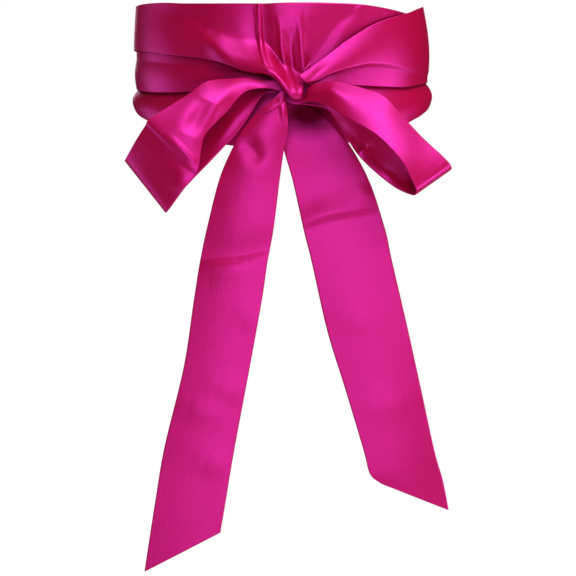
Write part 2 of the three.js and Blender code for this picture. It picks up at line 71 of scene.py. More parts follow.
bpy.ops.mesh.primitive_circle_add(
    vertices=96, radius=FLOOR_RADIUS, fill_type="NGON", location=(0, 0, FLOOR_HEIGHT)
)
floor = bpy.context.object
floor.name = "floor"
paper = bpy.data.materials.new("pale_floor")
paper.use_nodes = True
paper.node_tree.nodes["Principled BSDF"].inputs["Base Color"].default_value = (0.85, 0.85, 0.85, 1)
paper.node_tree.nodes["Principled BSDF"].inputs["Roughness"].default_value = 0.9
floor.data.materials.append(paper)

for row in LIGHTS:
    lamp = bpy.data.lights.new(row["name"], "AREA")
    lamp.size = row["size"]
    lamp.energy = row["watts"]
    light = bpy.data.objects.new(row["name"], lamp)
    light.location = row["at"]
    way = light.location - Vector(row["to"])
    light.rotation_euler = way.to_track_quat("Z", "Y").to_euler()
    bpy.context.collection.objects.link(light)

# The surround is white where it is looked at, and lights the satin softly, a little more from above.
LOW_LIGHT = (0.03, 0.025, 0.025, 1)
HIGH_LIGHT = (0.12, 0.085, 0.07, 1)


class Socket:
    """A socket of a shader, so that its maths reads as an expression."""

    def __init__(self, tree, link=None):
        self.tree = tree
        self.link = link

    def node(self, kind, settings, sockets, output=0):
        """A new node of a kind: its settings are made first, then its sockets' values or links."""
        made = self.tree.nodes.new(kind)
        for name, value in settings.items():
            if name == "stops":
                for stop, (position, colour) in zip(made.color_ramp.elements, value):
                    stop.position, stop.color = position, colour
            else:
                setattr(made, name, value)
        self.feed(made, sockets)
        return Socket(self.tree, made.outputs[output] if made.outputs else None)

    def feed(self, made, sockets):
        for name, value in sockets.items():
            if isinstance(value, Socket):
                self.tree.links.new(value.link, made.inputs[name])
            else:
                made.inputs[name].default_value = value

    def maths(self, operation, first, second):
        return self.node("ShaderNodeMath", {"operation": operation}, {0: first, 1: second})

    def __add__(self, other):
        return self.maths("ADD", self, other)

    def __mul__(self, other):
        return self.maths("MULTIPLY", self, other)

    __radd__ = __add__
    __rmul__ = __mul__


world = bpy.data.worlds.new("surround")
bpy.context.scene.world = world
world.use_nodes = True
world.node_tree.nodes.clear()
air = Socket(world.node_tree)
direction = air.node("ShaderNodeTexCoord", {}, {}, "Generated")
height = air.node("ShaderNodeSeparateXYZ", {}, {"Vector": direction}, "Z")
glow = air.node("ShaderNodeValToRGB", {"stops": ((0, LOW_LIGHT), (0.9, HIGH_LIGHT))}, {"Fac": height})
soft = air.node("ShaderNodeBackground", {}, {"Color": glow, "Strength": 1})
white = air.node("ShaderNodeBackground", {}, {"Color": (1, 1, 1, 1)})
looked_at = air.node("ShaderNodeLightPath", {}, {}, "Is Camera Ray")
lit = air.node("ShaderNodeMixShader", {}, {"Fac": looked_at, 1: soft, 2: white})
air.node("ShaderNodeOutputWorld", {}, {"Surface": lit})
bpy.context.scene.view_settings.view_transform = "Standard"

# The waist panel is the wide front of the sash, cut deeper at the front centre from two layers of satin
# with an interlining, and sewn to the ties behind each side. The ties press on its upper part, and below
# their edge it swells and turns in. Lengths are in millimetres from here on, and angles in degrees.
CLOTH = 1.4
EDGE_ROUND = 0.35
MM_IN_A_METRE = 1000
WAIST_HALF_WIDTH = 134.5
WAIST_HALF_DEPTH = 94.5
RIGHT_LEAN = 5
RIGHT_LEAN_HEIGHT = 48
RIGHT_LEAN_ROUND_POWER = 4
RIGHT_LEAN_UP_POWER = 1.5
PANEL_END = 128
PANEL_ALONG = 260
PANEL_ACROSS = 60
PANEL = [
    {"at": -128, "top": 46, "tie_edge": -15, "bottom": -23, "swell": 0.2},
    {"at": -106, "top": 47, "tie_edge": -21, "bottom": -33, "swell": 0.8},
    {"at": -88, "top": 47.5, "tie_edge": -27, "bottom": -43, "swell": 1},
    {"at": -74, "top": 47, "tie_edge": -31, "bottom": -53, "swell": 1},
    {"at": -60, "top": 46, "tie_edge": -34, "bottom": -62, "swell": 1},
    {"at": -40, "top": 42, "tie_edge": -36, "bottom": -75, "swell": 1},
    {"at": -20, "top": 40.5, "tie_edge": -38, "bottom": -85, "swell": 0.8},
    {"at": 0, "top": 40.5, "tie_edge": -40, "bottom": -90, "swell": 0.5},
    {"at": 20, "top": 41, "tie_edge": -36, "bottom": -85, "swell": 0.7},
    {"at": 40, "top": 42, "tie_edge": -31, "bottom": -75, "swell": 1},
    {"at": 57, "top": 38.5, "tie_edge": -30, "bottom": -62, "swell": 1},
    {"at": 70, "top": 38.5, "tie_edge": -26, "bottom": -52.5, "swell": 1},
    {"at": 88, "top": 43, "tie_edge": -21, "bottom": -40, "swell": 1},
    {"at": 106, "top": 45, "tie_edge": -20, "bottom": -31, "swell": 0.7},
    {"at": 128, "top": 46, "tie_edge": -15, "bottom": -23, "swell": 0.2},
]
LOWER_TUCK = 1.5
LOWER_BELLY = 5.5
BELLY_ARC = 0.8 * np.pi


def between(rows, place):
    """Smooth values between the rows of a table: place 0 is the first row, 1 the second, and so on."""
    last = len(rows) - 1
    first = min(int(place), last - 1)
    t = place - first
    before, start, end, after = (rows[min(max(first + n, 0), last)] for n in (-1, 0, 1, 2))
    found = {}
    for key in start:
        slope_in = (end[key] - before[key]) / 2
        slope_out = (after[key] - start[key]) / 2
        rise = end[key] - start[key]
        bend = 3 * rise - 2 * slope_in - slope_out
        found[key] = start[key] + t * (slope_in + t * (bend + t * (slope_in + slope_out - 2 * rise)))
    return found


def look_up(rows, at):
    """The same, where the table has an "at" column to look up."""
    first = max(n for n in range(len(rows) - 1) if n == 0 or rows[n]["at"] <= at)
    t = (at - rows[first]["at"]) / (rows[first + 1]["at"] - rows[first]["at"])
    return between(rows, first + min(max(t, 0), 1))


def on_waist(angle, z, out):
    """A point by its angle round the waist from the front centre, its height and how far outside it lies.
    The top of the right side leans in a little."""
    turn = np.radians(angle)
    away = np.array([np.sin(turn) / WAIST_HALF_WIDTH, -np.cos(turn) / WAIST_HALF_DEPTH])
    away /= np.hypot(*away)
    rightward = max(np.sin(turn), 0)
    upward = min(max(z / RIGHT_LEAN_HEIGHT, 0), 1)
    out -= RIGHT_LEAN * rightward**RIGHT_LEAN_ROUND_POWER * upward**RIGHT_LEAN_UP_POWER
    x = WAIST_HALF_WIDTH * np.sin(turn) + away[0] * out
    y = -WAIST_HALF_DEPTH * np.cos(turn) + away[1] * out
    return x, y, z


def folded(grid, folds):
    """Raises soft ridges, or troughs where rise is below 0, each along a path seen from the front. Each has
    a width on either side of its path, and fades towards its ends by its taper."""
    x, z = grid[..., 0], grid[..., 2]
    grid = grid.copy()
    for fold in folds:
        path = np.array(fold["path"], dtype=float)
        lengths = np.hypot(*(path[1:] - path[:-1]).T)
        nearest = np.full(x.shape, 1e9)
        aside, along = np.zeros(x.shape), np.zeros(x.shape)
        for n, length in enumerate(lengths):
            line = (path[n + 1] - path[n]) / length
            run = np.clip((x - path[n][0]) * line[0] + (z - path[n][1]) * line[1], 0, length)
            off_x, off_z = x - path[n][0] - run * line[0], z - path[n][1] - run * line[1]
            distance = np.hypot(off_x, off_z)
            closer = distance < nearest
            nearest = np.where(closer, distance, nearest)
            aside = np.where(closer, off_x * line[1] - off_z * line[0], aside)
            along = np.where(closer, (lengths[:n].sum() + run) / lengths.sum(), along)
        width = np.where(aside > 0, fold["right"], fold["left"])
        fade = 1 - fold["taper"] * (2 * along - 1) ** 2
        grid[..., 1] -= fold["rise"] * fade * np.exp(-((nearest / width) ** 2))
    return grid


def rim_of(rows, columns):
    """The rim of a grid, gone round once, as the row and column of each point."""
    rim = [(0, j) for j in range(columns)] + [(i, columns - 1) for i in range(1, rows)]
    rim += [(rows - 1, j) for j in range(columns - 2, -1, -1)] + [(i, 0) for i in range(rows - 2, 0, -1)]
    return rim


def wall_faces(rows, columns, rim):
    """The faces of a wall: the cloth's two sides, and two strips round its rim that meet at the edge."""
    upper = np.arange(rows * columns).reshape(rows, columns)
    under = upper + rows * columns
    edge = 2 * rows * columns
    faces = []
    for i in range(rows - 1):
        for j in range(columns - 1):
            faces.append((upper[i, j], upper[i + 1, j], upper[i + 1, j + 1], upper[i, j + 1]))
            faces.append((under[i, j], under[i, j + 1], under[i + 1, j + 1], under[i + 1, j]))
    for n, here in enumerate(rim):
        after = (n + 1) % len(rim)
        faces.append((upper[here], upper[rim[after]], edge + after, edge + n))
        faces.append((edge + n, edge + after, under[rim[after]], under[here]))
    return faces


def laid_flat(grid, rim):
    """Where each point of a wall lies on the cloth when it is laid flat, in metres."""
    steps_along = np.linalg.norm(np.diff(grid, axis=0), axis=2).mean(axis=1)
    steps_across = np.linalg.norm(np.diff(grid, axis=1), axis=2).mean(axis=0)
    along = np.concatenate([[0], np.cumsum(steps_along)]) / MM_IN_A_METRE
    across = np.concatenate([[0], np.cumsum(steps_across)]) / MM_IN_A_METRE
    side = [(run, reach) for run in along for reach in across]
    return side * 2 + [(along[i], across[j]) for i, j in rim]


def satin_wall(name, grid, folds=()):
    """A piece of the sash: a wall of cloth with rounded edges, whose middle lies on the grid of points."""
    grid = folded(np.array(grid, dtype=float), folds)
    rows, columns = grid.shape[:2]
    normal = np.cross(np.gradient(grid, axis=0), np.gradient(grid, axis=1))
    normal /= np.linalg.norm(normal, axis=2, keepdims=True)
    upper = grid + normal * CLOTH / 2
    under = grid - normal * CLOTH / 2
    rim = rim_of(rows, columns)
    inside = [(min(max(i, 1), rows - 2), min(max(j, 1), columns - 2)) for i, j in rim]
    outward = np.array([grid[a] - grid[b] for a, b in zip(rim, inside)])
    outward /= np.linalg.norm(outward, axis=1, keepdims=True)
    edge = np.array([grid[a] for a in rim]) + outward * CLOTH * EDGE_ROUND
    points = np.concatenate([upper.reshape(-1, 3), under.reshape(-1, 3), edge])
    mesh = bpy.data.meshes.new(name)
    mesh.from_pydata((points / MM_IN_A_METRE).tolist(), [], wall_faces(rows, columns, rim))
    mesh.shade_smooth()
    flat = laid_flat(grid, rim)
    weave = mesh.uv_layers.new(name="weave")
    for loop in mesh.loops:
        weave.data[loop.index].uv = flat[loop.vertex_index]
    piece = bpy.data.objects.new(name, mesh)
    bpy.context.collection.objects.link(piece)
    mesh.materials.append(satin)
    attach(piece, "root")
    return piece


# The satin is crimson in its own colour, with a violet pink gloss from the long floats of its weave. Its
# threads run along each piece, and are thicker here and there.
DARK_DYE = (0.36, 0.0005, 0.014, 1)
BRIGHT_DYE = (0.5, 0.0005, 0.03, 1)
FLOAT_TINT = (1, 0.055, 0.72, 1)
# The next colour is painted shade, a near-black that the satin is mixed towards in its crevices. The oval
# after it places a painted shadow below the knot.
PAINTED_SHADE_COLOUR = (0.07, 0.0, 0.004, 1)
SHADOW_OVAL_SHIFT = (-0.67, 0, 2.4)
SHADOW_OVAL_SCALE = (28, 0, 42)
# A Mix node's colour sockets share their names with its others, so they go by number.
MIX_FROM, MIX_TO, MIX_RESULT = 6, 7, 2

satin = bpy.data.materials.new("magenta_satin")
satin.use_nodes = True
yarn = Socket(satin.node_tree)
place = yarn.node("ShaderNodeUVMap", {"uv_map": "weave"}, {})
streaks = yarn.node("ShaderNodeMapping", {}, {"Vector": place, "Scale": (45, 700, 1)})
slubs = yarn.node("ShaderNodeTexNoise", {}, {"Vector": streaks, "Scale": 1, "Detail": 3})
floats = yarn.node("ShaderNodeMapping", {}, {"Vector": place, "Scale": (350, 1600, 1)})
weave = yarn.node("ShaderNodeTexNoise", {}, {"Vector": floats, "Scale": 1, "Detail": 1})
cloud = yarn.node("ShaderNodeTexNoise", {}, {"Vector": place, "Scale": 22, "Detail": 2})
shade_of_dye = slubs * 0.5 + cloud * 0.5
dye = yarn.node(
    "ShaderNodeMix",
    {"data_type": "RGBA"},
    {"Factor": shade_of_dye, MIX_FROM: DARK_DYE, MIX_TO: BRIGHT_DYE},
    MIX_RESULT,
)
bumps = yarn.node(
    "ShaderNodeBump", {}, {"Strength": 0.4, "Distance": 0.0004, "Height": weave * 0.6 + slubs * 0.4}
)
# Painted shade: where layers lie close, the satin is mixed by its ambient occlusion towards a near-black
# diffuse, and most of all in a painted shadow behind the knot, in an oval below it.
open_to_light = yarn.node("ShaderNodeAmbientOcclusion", {"samples": 6}, {"Distance": 0.02}, "AO")
crevice_painted_shade = yarn.node(
    "ShaderNodeMapRange",
    {},
    {"Value": open_to_light, "From Min": 0.88, "From Max": 0.35, "To Min": 0, "To Max": 0.85},
)
spot = yarn.node("ShaderNodeNewGeometry", {}, {}, "Position")
from_oval = yarn.node(
    "ShaderNodeMapping", {}, {"Vector": spot, "Location": SHADOW_OVAL_SHIFT, "Scale": SHADOW_OVAL_SCALE}
)
from_middle = yarn.node("ShaderNodeVectorMath", {"operation": "LENGTH"}, {0: from_oval}, "Value")
painted_shadow_oval = yarn.node(
    "ShaderNodeMapRange",
    {},
    {"Value": from_middle, "From Min": 1.1, "From Max": 0.3, "To Min": 0, "To Max": 0.96},
)
depth = yarn.node("ShaderNodeSeparateXYZ", {}, {"Vector": spot}, "Y")
behind_knot_shadow = yarn.node(
    "ShaderNodeMapRange",
    {},
    {"Value": depth, "From Min": -0.113, "From Max": -0.11, "To Min": 0, "To Max": 1},
)
shade = crevice_painted_shade.maths("MAXIMUM", crevice_painted_shade, painted_shadow_oval * behind_knot_shadow)
# A near-black diffuse stands in for the shade here. It is painted shade, not a colour of the satin.
painted_shade_diffuse = yarn.node("ShaderNodeBsdfDiffuse", {}, {"Color": PAINTED_SHADE_COLOUR})
principled = satin.node_tree.nodes["Principled BSDF"]
yarn.feed(
    principled,
    {
        "Base Color": dye,
        "Roughness": 0.36 + slubs * 0.08,
        "Normal": bumps,
        "IOR": 2.1,
        "Specular IOR Level": 1,
        "Specular Tint": FLOAT_TINT,
    },
)
gloss = Socket(satin.node_tree, principled.outputs["BSDF"])
# The gloss is mixed towards the painted shade by that mask.
gloss_with_painted_shade = yarn.node("ShaderNodeMixShader", {}, {"Fac": shade, 1: gloss, 2: painted_shade_diffuse})
yarn.feed(satin.node_tree.nodes["Material Output"], {"Surface": gloss_with_painted_shade})


def panel_point(angle, u):
    """A point of the panel: u is 0 at its bottom edge, 1 where the ties' edge presses and 2 at its top."""
    edge = look_up(PANEL, angle)
    if u <= 1:
        z = edge["bottom"] + (edge["tie_edge"] - edge["bottom"]) * u
        swell = LOWER_TUCK * (1 - u) + LOWER_BELLY * np.sin(BELLY_ARC * (1 - u))
        return on_waist(angle, z, edge["swell"] * swell)
    return on_waist(angle, edge["tie_edge"] + (edge["top"] - edge["tie_edge"]) * (u - 1), 0)


waist_panel = satin_wall(
    "satin_waist_panel",
    [
        [panel_point(angle, u) for u in np.linspace(0, 2, PANEL_ACROSS)]
        for angle in np.linspace(-PANEL_END, PANEL_END, PANEL_ALONG)
    ],
)
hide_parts("waist_panel")

# The left tie is a long strip of doubled satin. It comes from behind round the left side and lies on the
# panel, folded along its length, and this is its lower fold, which runs in under the knot.
TIE_REST = 2.3
LOWER_FOLD_ROUND = 1.6
LOWER_FOLD_ROUND_SHARE = 0.625
LOWER_FOLD_ALONG = 240
LOWER_FOLD_ACROSS = 50
LEFT_LOWER_FOLD = [
    {"angle": -128, "high": 20, "low": -14.5, "out": 0.3},
    {"angle": -106, "high": 18.5, "low": -20.5, "out": 0.3},
    {"angle": -88, "high": 17.5, "low": -26.5, "out": 0.4},
    {"angle": -74, "high": 15, "low": -30.5, "out": 0.8},
    {"angle": -60, "high": 11, "low": -33.5, "out": 1.2},
    {"angle": -46, "high": 6, "low": -35, "out": 1.4},
    {"angle": -33, "high": 1, "low": -34.5, "out": 1.8},
    {"angle": -22, "high": -5, "low": -33, "out": 3},
    {"angle": -15, "high": -10, "low": -31, "out": 5},
    {"angle": -9, "high": -15, "low": -30, "out": 5.5},
    {"angle": -4.5, "high": -20, "low": -30, "out": 5.5},
]


def on_panel(angle, z, extra):
    """A point of a tie that lies on the panel."""
    return on_waist(angle, z, TIE_REST + extra)


def lower_fold_line(place, across):
    """A line of the lower fold, from its lower edge up."""
    row = between(LEFT_LOWER_FOLD, place)
    line = []
    for t in across:
        round_out = np.sin(np.pi * min(1, t / LOWER_FOLD_ROUND_SHARE)) * LOWER_FOLD_ROUND
        z = row["low"] + (row["high"] - row["low"]) * t
        line.append(on_panel(row["angle"], z, row["out"] + round_out))
    return line


left_lower_fold = satin_wall(
    "satin_left_lower_fold",
    [
        lower_fold_line(place, np.linspace(0, 1, LOWER_FOLD_ACROSS))
        for place in np.linspace(0, len(LEFT_LOWER_FOLD) - 1, LOWER_FOLD_ALONG)
    ],
)
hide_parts("left_tie_lower_fold")

# Its upper fold is the same strip, spread in a fan of pleats over the front centre and drawn down over the
# knot, where its lower edge rolls under. Each row is one line of the cloth, from its lower edge to its
# upper edge. Near the lower edge, within its reach, the line leaves the panel to lie over the knot.
CURL_TURN = 95
LEAST_CURL = 0.05
FAN_ALONG = 360
FAN_ACROSS = 90
ROLL_ACROSS = 12
LEFT_TIE = [
    {"low_angle": -128, "low_z": 11, "low_out": 2.6,
     "high_angle": -128, "high_z": 49, "high_out": 2, "curl": 0, "reach": 60},
    {"low_angle": -104, "low_z": 10.5, "low_out": 2.8,
     "high_angle": -106, "high_z": 50.5, "high_out": 1, "curl": 0, "reach": 60},
    {"low_angle": -84, "low_z": 9, "low_out": 3,
     "high_angle": -88, "high_z": 50.5, "high_out": 0.8, "curl": 0, "reach": 60},
    {"low_angle": -64, "low_z": 5, "low_out": 3.6,
     "high_angle": -73, "high_z": 49.8, "high_out": 0.6, "curl": 0, "reach": 60},
    {"low_angle": -46, "low_z": -0.5, "low_out": 4.2,
     "high_angle": -60, "high_z": 48.8, "high_out": 0.4, "curl": 0.2, "reach": 60},
    {"low_angle": -31, "low_z": -5, "low_out": 5,
     "high_angle": -50, "high_z": 47.5, "high_out": 0.4, "curl": 0.4, "reach": 60},
    {"low_angle": -21, "low_z": -11.5, "low_out": 8,
     "high_angle": -43, "high_z": 46, "high_out": 0.4, "curl": 0.6, "reach": 60},
    {"low_angle": -15, "low_z": -17, "low_out": 12,
     "high_angle": -36, "high_z": 45, "high_out": 0.6, "curl": 1, "reach": 52},
    {"low_angle": -10.3, "low_z": -19.6, "low_out": 17,
     "high_angle": -26, "high_z": 44, "high_out": 0.8, "curl": 1.2, "reach": 44},
    {"low_angle": -6.2, "low_z": -20.6, "low_out": 22,
     "high_angle": -12, "high_z": 43, "high_out": 1, "curl": 1.4, "reach": 37},
    {"low_angle": -3.1, "low_z": -23.6, "low_out": 25,
     "high_angle": -8.6, "high_z": 42.8, "high_out": 1.5, "curl": 1.8, "reach": 34},
    {"low_angle": -0.9, "low_z": -29.6, "low_out": 27.2,
     "high_angle": -6.5, "high_z": 42.8, "high_out": 2, "curl": 2.2, "reach": 32},
    {"low_angle": 1, "low_z": -35.5, "low_out": 28.6,
     "high_angle": -4.8, "high_z": 42.8, "high_out": 2.4, "curl": 3, "reach": 31},
    {"low_angle": 2.9, "low_z": -40.5, "low_out": 29,
     "high_angle": -3, "high_z": 43, "high_out": 2.6, "curl": 4, "reach": 31},
    {"low_angle": 5, "low_z": -41.9, "low_out": 28,
     "high_angle": 1, "high_z": 43.2, "high_out": 2.6, "curl": 4.2, "reach": 29},
    {"low_angle": 6.6, "low_z": -40.5, "low_out": 25.5,
     "high_angle": 4, "high_z": 43.4, "high_out": 2.6, "curl": 3.2, "reach": 24},
    {"low_angle": 7.2, "low_z": -37, "low_out": 20,
     "high_angle": 9, "high_z": 43.6, "high_out": 2.4, "curl": 2, "reach": 18},
    {"low_angle": 7.7, "low_z": -33.5, "low_out": 13,
     "high_angle": 18, "high_z": 43.8, "high_out": 1.8, "curl": 1, "reach": 14},
    {"low_angle": 8.2, "low_z": -30.5, "low_out": 8,
     "high_angle": 34, "high_z": 43.4, "high_out": 1.4, "curl": 0.6, "reach": 14},
    {"low_angle": 9, "low_z": -28, "low_out": 5,
     "high_angle": 60, "high_z": 38.4, "high_out": 1.3, "curl": 0.4, "reach": 14},
]
LEFT_TIE_FOLDS = [
    {"path": ((-21.6, 46), (-21.2, 20), (-19, -1), (-16, -12)),
     "rise": 1.1, "left": 2.5, "right": 1.4, "taper": 0.5},
    {"path": ((-25, 30), (-24.5, 18), (-21.5, -1), (-18, -14)),
     "rise": -1.9, "left": 3, "right": 9, "taper": 0.7},
    {"path": ((-17, 62), (-17, 20), (-15.5, 2), (-13, -10), (-7, -22), (1, -34)),
     "rise": -2.8, "left": 11, "right": 2.2, "taper": 1},
    {"path": ((-30, -16.5), (-18, -18), (-9, -21), (-2, -27.5), (5, -37)),
     "rise": 1.8, "left": 2.2, "right": 2.2, "taper": 0.6},
    {"path": ((-4, 34), (-1, 17), (-0.5, 4), (2, -10), (7, -23), (14, -45)),
     "rise": 1.8, "left": 3, "right": 2.5, "taper": 1},
    {"path": ((8.5, 22), (7.5, 2), (9, -14), (12, -26), (17, -50)),
     "rise": -3, "left": 4.5, "right": 4.5, "taper": 1},
    {"path": ((14, 36), (17, 17), (18, 4), (19.5, -12), (22, -45)),
     "rise": 2, "left": 3.5, "right": 3, "taper": 1},
    {"path": ((-2, 33), (20, 31)), "rise": 1.3, "left": 10, "right": 10, "taper": 0.4},
    {"path": ((62, 36), (50, 26), (38, 8), (27, -8)), "rise": -2.4, "left": 6, "right": 14, "taper": 0.4},
    {"path": ((-66, 14), (-56, -2), (-38, -24)), "rise": 4.5, "left": 11, "right": 8, "taper": 0.8},
]


def fan_line(place, across):
    """A line of the fan. Below 0, across goes round the edge's roll."""
    row = between(LEFT_TIE, place)
    low = np.array(on_panel(row["low_angle"], row["low_z"], row["low_out"]))
    high = np.array(on_panel(row["high_angle"], row["high_z"], row["high_out"]))
    down = (low - high) * (1, 0, 1)
    down /= np.linalg.norm(down)
    line = []
    for t in across:
        if t < 0:
            turn = np.radians(-t * CURL_TURN)
            radius = max(row["curl"], LEAST_CURL)
            line.append(low + down * radius * np.sin(turn) + (0, radius * (1 - np.cos(turn)), 0))
            continue
        near = max(1 - t * np.linalg.norm(low - high) / row["reach"], 0)
        near = near * near * (3 - 2 * near)
        angle = row["low_angle"] + (row["high_angle"] - row["low_angle"]) * t
        z = row["low_z"] + (row["high_z"] - row["low_z"]) * t
        line.append(on_panel(angle, z, row["high_out"] + (row["low_out"] - row["high_out"]) * near))
    return line


fan_across = np.concatenate([np.linspace(-1, 0, ROLL_ACROSS)[:-1], np.linspace(0, 1, FAN_ACROSS)])
left_tie = satin_wall(
    "satin_left_tie",
    [fan_line(place, fan_across) for place in np.linspace(0, len(LEFT_TIE) - 1, FAN_ALONG)],
    LEFT_TIE_FOLDS,
)
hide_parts("left_tie")

# The right tie is the other strip of doubled satin. It comes round the right side over the panel and the
# fan, and is held by the knot. Towards the knot its lower part folds back under the upper one, and it
# narrows to a small folded end.
FOLD_SOFTNESS = 0.06
RIGHT_TIE_ALONG = 260
RIGHT_TIE_ACROSS = 90
RIGHT_TIE = [
    {"low_angle": 128, "low_z": -17, "low_out": 1,
     "high_angle": 128, "high_z": 48.5, "high_out": 1, "belly": 0, "fold": 0.12, "step": 0},
    {"low_angle": 104, "low_z": -20, "low_out": 0.4,
     "high_angle": 104, "high_z": 49.5, "high_out": 1, "belly": 0.5, "fold": 0.12, "step": 0},
    {"low_angle": 86, "low_z": -21, "low_out": 0.4,
     "high_angle": 84, "high_z": 49.5, "high_out": 1.4, "belly": 1.4, "fold": 0.12, "step": 0.8},
    {"low_angle": 70, "low_z": -25, "low_out": 1,
     "high_angle": 68, "high_z": 45, "high_out": 3.6, "belly": 1.6, "fold": 0.15, "step": 1},
    {"low_angle": 56, "low_z": -29, "low_out": 2,
     "high_angle": 58, "high_z": 39.5, "high_out": 4.2, "belly": 2, "fold": 0.22, "step": 1.4},
    {"low_angle": 44, "low_z": -30, "low_out": 3.5,
     "high_angle": 49, "high_z": 35, "high_out": 4.4, "belly": 2.5, "fold": 0.28, "step": 2.4},
    {"low_angle": 33, "low_z": -30, "low_out": 6,
     "high_angle": 37, "high_z": 26, "high_out": 5.2, "belly": 3, "fold": 0.33, "step": 4},
    {"low_angle": 24, "low_z": -30, "low_out": 10,
     "high_angle": 25.5, "high_z": 11, "high_out": 7, "belly": 3, "fold": 0.34, "step": 5.5},
    {"low_angle": 17, "low_z": -31, "low_out": 14,
     "high_angle": 17.5, "high_z": -3, "high_out": 10, "belly": 2.5, "fold": 0.33, "step": 6},
    {"low_angle": 11.8, "low_z": -32, "low_out": 19,
     "high_angle": 11, "high_z": -15, "high_out": 15.5, "belly": 1.2, "fold": 0.2, "step": 3.5},
    {"low_angle": 8.2, "low_z": -30.5, "low_out": 21,
     "high_angle": 6, "high_z": -24, "high_out": 20.5, "belly": 0.4, "fold": 0.1, "step": 0.6},
]
RIGHT_TIE_FOLDS = [
    {"path": ((20, -28), (34, -10)), "rise": 0.8, "left": 2.4, "right": 2.4, "taper": 0.6},
    {"path": ((24, -28), (40, -14)), "rise": -0.6, "left": 2.4, "right": 2.4, "taper": 0.6},
]


def right_line(place, across):
    """A line of the right tie, whose lower part is set back behind the fold's edge."""
    row = between(RIGHT_TIE, place)
    line = []
    for t in across:
        angle = row["low_angle"] + (row["high_angle"] - row["low_angle"]) * t
        z = row["low_z"] + (row["high_z"] - row["low_z"]) * t
        extra = row["low_out"] + (row["high_out"] - row["low_out"]) * t + row["belly"] * np.sin(np.pi * t)
        set_back = min(max((row["fold"] + FOLD_SOFTNESS / 2 - t) / FOLD_SOFTNESS, 0), 1)
        line.append(on_panel(angle, z, extra - row["step"] * set_back))
    return line


right_tie = satin_wall(
    "satin_right_tie",
    [
        right_line(place, np.linspace(1, 0, RIGHT_TIE_ACROSS))
        for place in np.linspace(0, len(RIGHT_TIE) - 1, RIGHT_TIE_ALONG)
    ],
    RIGHT_TIE_FOLDS,
)
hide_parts("right_tie")

# Behind the waist the same two strips are gathered and cross. Each is sewn to the panel's end at one side,
# and passes outside the panel at the other, where it comes round to the front.
BACK_GATHER = 1.1
BACK_PLEATS = 2.5
BACK_FROM = 128.3
BACK_TO = 231.7
BACK_ALONG = 160
BACK_ACROSS = 60
BACK_TIE_TO_LEFT = [
    {"at": 128, "low": -22.5, "high": 46, "out": 0, "gather": 0},
    {"at": 138, "low": -21, "high": 36, "out": 0, "gather": 0.6},
    {"at": 150, "low": -17, "high": 18, "out": 0, "gather": 1},
    {"at": 165, "low": -13, "high": 20, "out": 0, "gather": 1},
    {"at": 180, "low": 0, "high": 34, "out": 0, "gather": 1},
    {"at": 194, "low": 12, "high": 45, "out": 0.2, "gather": 1},
    {"at": 207, "low": 18, "high": 50, "out": 4, "gather": 1},
    {"at": 218, "low": 6, "high": 50, "out": 4.4, "gather": 0.6},
    {"at": 232, "low": -17, "high": 49, "out": 3.6, "gather": 0},
]
BACK_TIE_TO_RIGHT = [
    {"at": 128, "low": -17, "high": 48.5, "out": 3.3, "gather": 0},
    {"at": 140, "low": 2, "high": 50.5, "out": 4.4, "gather": 0.6},
    {"at": 153, "low": 20, "high": 51.5, "out": 5, "gather": 1},
    {"at": 166, "low": 15, "high": 47, "out": 6.4, "gather": 1},
    {"at": 180, "low": 0, "high": 33, "out": 6.6, "gather": 1},
    {"at": 194, "low": -16, "high": 17, "out": 5.6, "gather": 1},
    {"at": 207, "low": -18.5, "high": 14, "out": 1, "gather": 1},
    {"at": 220, "low": -21, "high": 32, "out": 0, "gather": 0.6},
    {"at": 232, "low": -22.5, "high": 46.5, "out": 0, "gather": 0},
]


def back_line(rows, angle, across):
    """A line of a back tie, from its lower edge up, with its gathers."""
    row = look_up(rows, angle)
    line = []
    for t in across:
        pleats = BACK_GATHER * row["gather"] * np.sin(2 * np.pi * BACK_PLEATS * t)
        line.append(on_waist(angle, row["low"] + (row["high"] - row["low"]) * t, row["out"] + pleats))
    return line


for node, rows in (("back_tie_to_left", BACK_TIE_TO_LEFT), ("back_tie_to_right", BACK_TIE_TO_RIGHT)):
    back_tie = satin_wall(
        "satin_" + node,
        [
            back_line(rows, angle, np.linspace(0, 1, BACK_ACROSS))
            for angle in np.linspace(BACK_FROM, BACK_TO, BACK_ALONG)
        ],
    )
    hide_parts(node)

